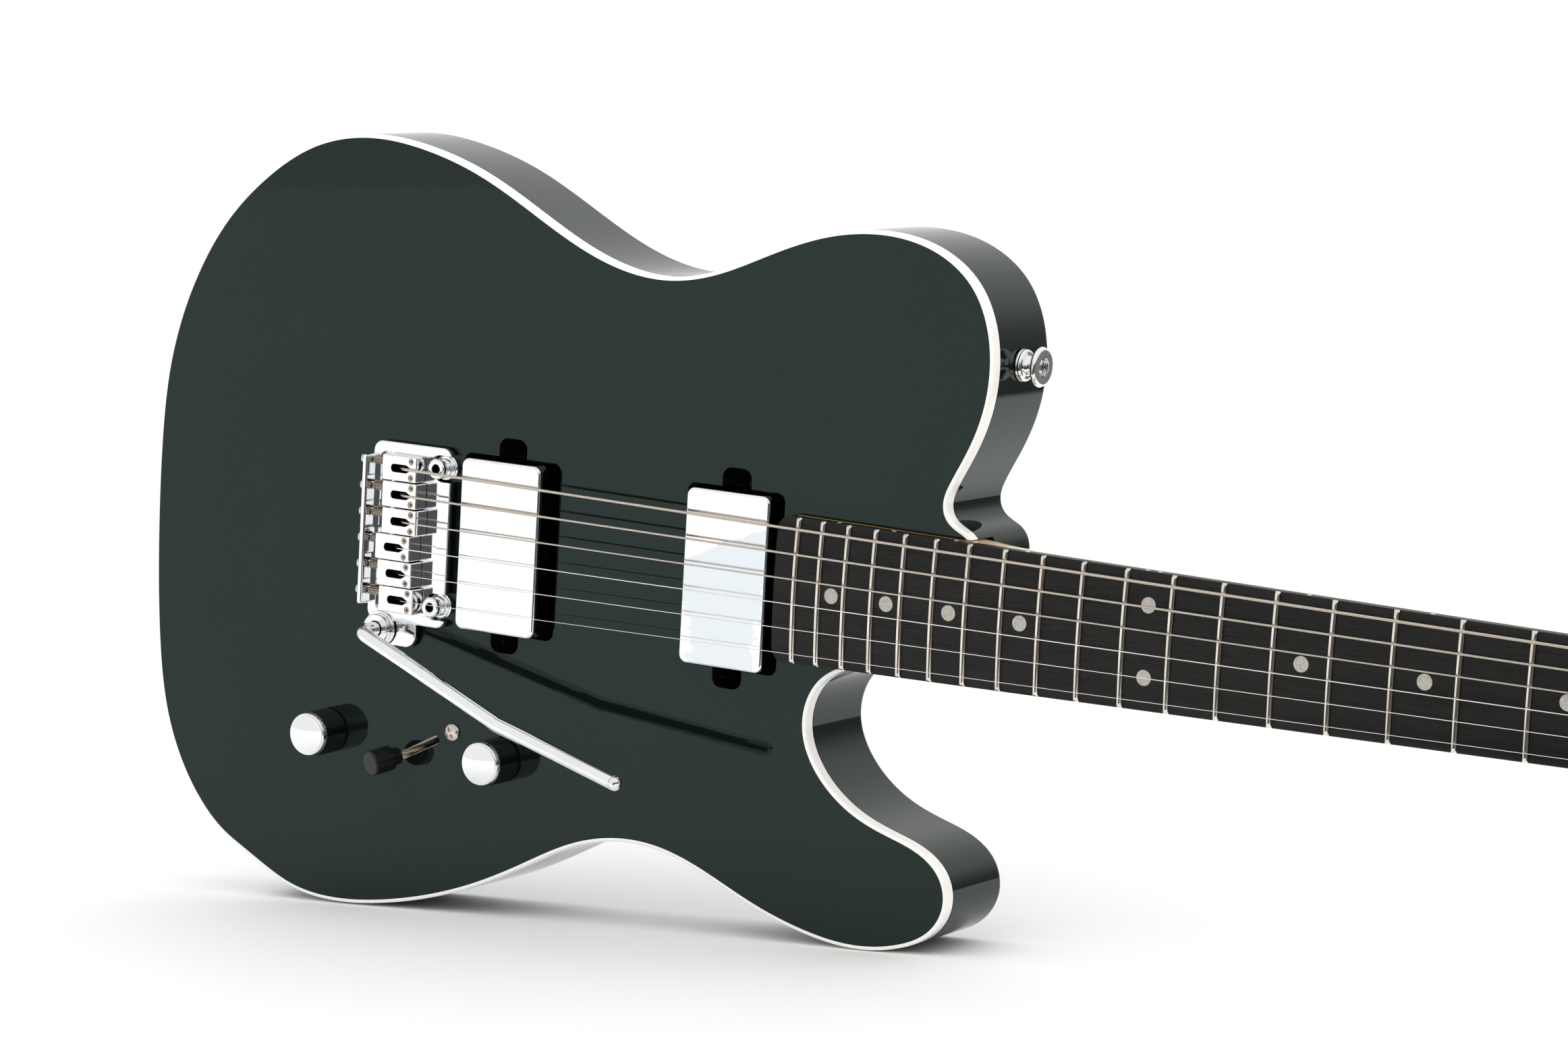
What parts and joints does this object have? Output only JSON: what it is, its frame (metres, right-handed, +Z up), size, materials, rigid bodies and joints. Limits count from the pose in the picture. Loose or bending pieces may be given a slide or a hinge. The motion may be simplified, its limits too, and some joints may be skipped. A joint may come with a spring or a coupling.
{
  "type": "electric guitar",
  "caption": "Double-cutaway solid-body electric guitar with a bound gloss body, bolt-on neck, covered humbuckers, two-point tremolo with arm, and in-line tuners.",
  "frame": {"origin": "middle of the instrument's bounding box, on the surface it stands on; the guitar stands on its treble edge", "axes": "+Z up, towards the bass side of the body; +X towards the headstock; the playing face looks along -Y"},
  "size_m": [0.9706, 0.111, 0.3143],
  "materials": {
    "gloss_black": "black polyester lacquer, high gloss",
    "cream": "gloss ivory",
    "maple": "amber gloss lacquer",
    "ebony": "oiled satin, nickel frets, pearl dots",
    "bone": "satin ivory",
    "chrome": "mirror",
    "steel": "plain nickel-plated steel",
    "plain_string": "polished",
    "wound_string": "wound",
    "black_plastic": "satin black",
    "coil": "satin black"
  },
  "bodies": {
    "guitar": {"body_shell": "gloss_black", "body_binding": "cream", "neck": "maple", "fingerboard": "ebony", "nut": "bone", "neck_plate": "chrome", "bridge_pickup_cover": "chrome", "bridge_pickup_coils": "coil", "neck_pickup_cover": "chrome", "neck_pickup_coils": "coil", "bass_pivot_stud": "chrome", "treble_pivot_stud": "chrome", "spring_claw": "steel", "volume_pot": "steel", "tone_pot": "steel", "switch_frame": "steel", "output_jack": "chrome", "upper_strap_button": "chrome", "lower_strap_button": "chrome", "spring_cover": "black_plastic", "control_cover": "black_plastic", "tuner_housing_1": "chrome", "tuner_housing_2": "chrome", "tuner_housing_3": "chrome", "tuner_housing_4": "chrome", "tuner_housing_5": "chrome", "tuner_housing_6": "chrome", "tremolo_spring_1": "steel", "tremolo_spring_2": "steel", "tremolo_spring_3": "steel", "string_1": "plain_string", "string_2": "plain_string", "string_3": "plain_string", "string_4": "wound_string", "string_5": "wound_string", "string_6": "wound_string"},
    "tremolo": {"tremolo_plate": "chrome", "tremolo_block": "steel", "saddle_1": "chrome", "saddle_2": "chrome", "saddle_3": "chrome", "saddle_4": "chrome", "saddle_5": "chrome", "saddle_6": "chrome"},
    "arm": {"tremolo_arm": "chrome"},
    "volume": {"volume_knob": "chrome"},
    "tone": {"tone_knob": "chrome"},
    "selector": {"switch_lever": "steel"},
    "button_1": {"tuner_button_1": "chrome"},
    "post_1": {"tuner_post_1": "chrome"},
    "button_2": {"tuner_button_2": "chrome"},
    "post_2": {"tuner_post_2": "chrome"},
    "button_3": {"tuner_button_3": "chrome"},
    "post_3": {"tuner_post_3": "chrome"},
    "button_4": {"tuner_button_4": "chrome"},
    "post_4": {"tuner_post_4": "chrome"},
    "button_5": {"tuner_button_5": "chrome"},
    "post_5": {"tuner_post_5": "chrome"},
    "button_6": {"tuner_button_6": "chrome"},
    "post_6": {"tuner_post_6": "chrome"}
  },
  "joints": [
    {"name": "tremolo_hinge", "type": "hinge", "parent": "guitar", "child": "tremolo", "pos_m": [-0.32869, -0.0005, 0.15258], "axis": [0.0845, 0, 0.9964], "range_deg": [-1.5, 14], "stiffness_Nm_per_rad": 8, "deforming": ["tremolo_spring_1", "tremolo_spring_2", "tremolo_spring_3", "string_1", "string_2", "string_3", "string_4", "string_5", "string_6"]},
    {"name": "arm_swing", "type": "hinge", "parent": "tremolo", "child": "arm", "pos_m": [-0.35797, 0.0025, 0.11502], "axis": [0, -1, 0], "range_deg": [-90, 75]},
    {"name": "volume_turn", "type": "hinge", "parent": "guitar", "child": "volume", "pos_m": [-0.30238, 0.0025, 0.06404], "axis": [0, -1, 0], "range_deg": [-150, 150]},
    {"name": "tone_turn", "type": "hinge", "parent": "guitar", "child": "tone", "pos_m": [-0.38807, 0.0025, 0.07131], "axis": [0, -1, 0], "range_deg": [-150, 150]},
    {"name": "selector_tilt", "type": "hinge", "parent": "guitar", "child": "selector", "pos_m": [-0.3426, 0.0165, 0.06665], "axis": [-0.3931, 0, 0.9195], "range_deg": [0, 44.6]},
    {"name": "button_turn_1", "type": "hinge", "parent": "guitar", "child": "button_1", "pos_m": [0.46259, 0.05021, 0.07149], "axis": [0.3344, 0.0493, 0.9411], "continuous": true},
    {"name": "button_turn_2", "type": "hinge", "parent": "guitar", "child": "button_2", "pos_m": [0.43913, 0.04554, 0.07945], "axis": [0.3344, 0.0493, 0.9411], "continuous": true},
    {"name": "button_turn_3", "type": "hinge", "parent": "guitar", "child": "button_3", "pos_m": [0.41569, 0.04086, 0.08769], "axis": [0.3344, 0.0493, 0.9411], "continuous": true},
    {"name": "button_turn_4", "type": "hinge", "parent": "guitar", "child": "button_4", "pos_m": [0.39229, 0.03619, 0.09628], "axis": [0.3344, 0.0493, 0.9411], "continuous": true},
    {"name": "button_turn_5", "type": "hinge", "parent": "guitar", "child": "button_5", "pos_m": [0.3689, 0.03151, 0.10515], "axis": [0.3344, 0.0493, 0.9411], "continuous": true},
    {"name": "button_turn_6", "type": "hinge", "parent": "guitar", "child": "button_6", "pos_m": [0.34554, 0.02684, 0.11431], "axis": [0.3344, 0.0493, 0.9411], "continuous": true},
    {"name": "post_turn_1", "type": "hinge", "parent": "guitar", "child": "post_1", "pos_m": [0.45887, 0.0303, 0.07386], "axis": [0.1901, -0.9816, -0.0161], "continuous": true},
    {"name": "post_turn_2", "type": "hinge", "parent": "guitar", "child": "post_2", "pos_m": [0.43541, 0.02563, 0.08181], "axis": [0.1901, -0.9816, -0.0161], "continuous": true},
    {"name": "post_turn_3", "type": "hinge", "parent": "guitar", "child": "post_3", "pos_m": [0.41198, 0.02095, 0.09006], "axis": [0.1901, -0.9816, -0.0161], "continuous": true},
    {"name": "post_turn_4", "type": "hinge", "parent": "guitar", "child": "post_4", "pos_m": [0.38857, 0.01628, 0.09864], "axis": [0.1901, -0.9816, -0.0161], "continuous": true},
    {"name": "post_turn_5", "type": "hinge", "parent": "guitar", "child": "post_5", "pos_m": [0.36518, 0.0116, 0.10752], "axis": [0.1901, -0.9816, -0.0161], "continuous": true},
    {"name": "post_turn_6", "type": "hinge", "parent": "guitar", "child": "post_6", "pos_m": [0.34182, 0.00693, 0.11667], "axis": [0.1901, -0.9816, -0.0161], "continuous": true}
  ],
  "couplings": [
    {"joint": "post_turn_1", "follows": "button_turn_1", "ratio": 0.0625},
    {"joint": "post_turn_2", "follows": "button_turn_2", "ratio": 0.0625},
    {"joint": "post_turn_3", "follows": "button_turn_3", "ratio": 0.0625},
    {"joint": "post_turn_4", "follows": "button_turn_4", "ratio": 0.0625},
    {"joint": "post_turn_5", "follows": "button_turn_5", "ratio": 0.0625},
    {"joint": "post_turn_6", "follows": "button_turn_6", "ratio": 0.0625}
  ]
}
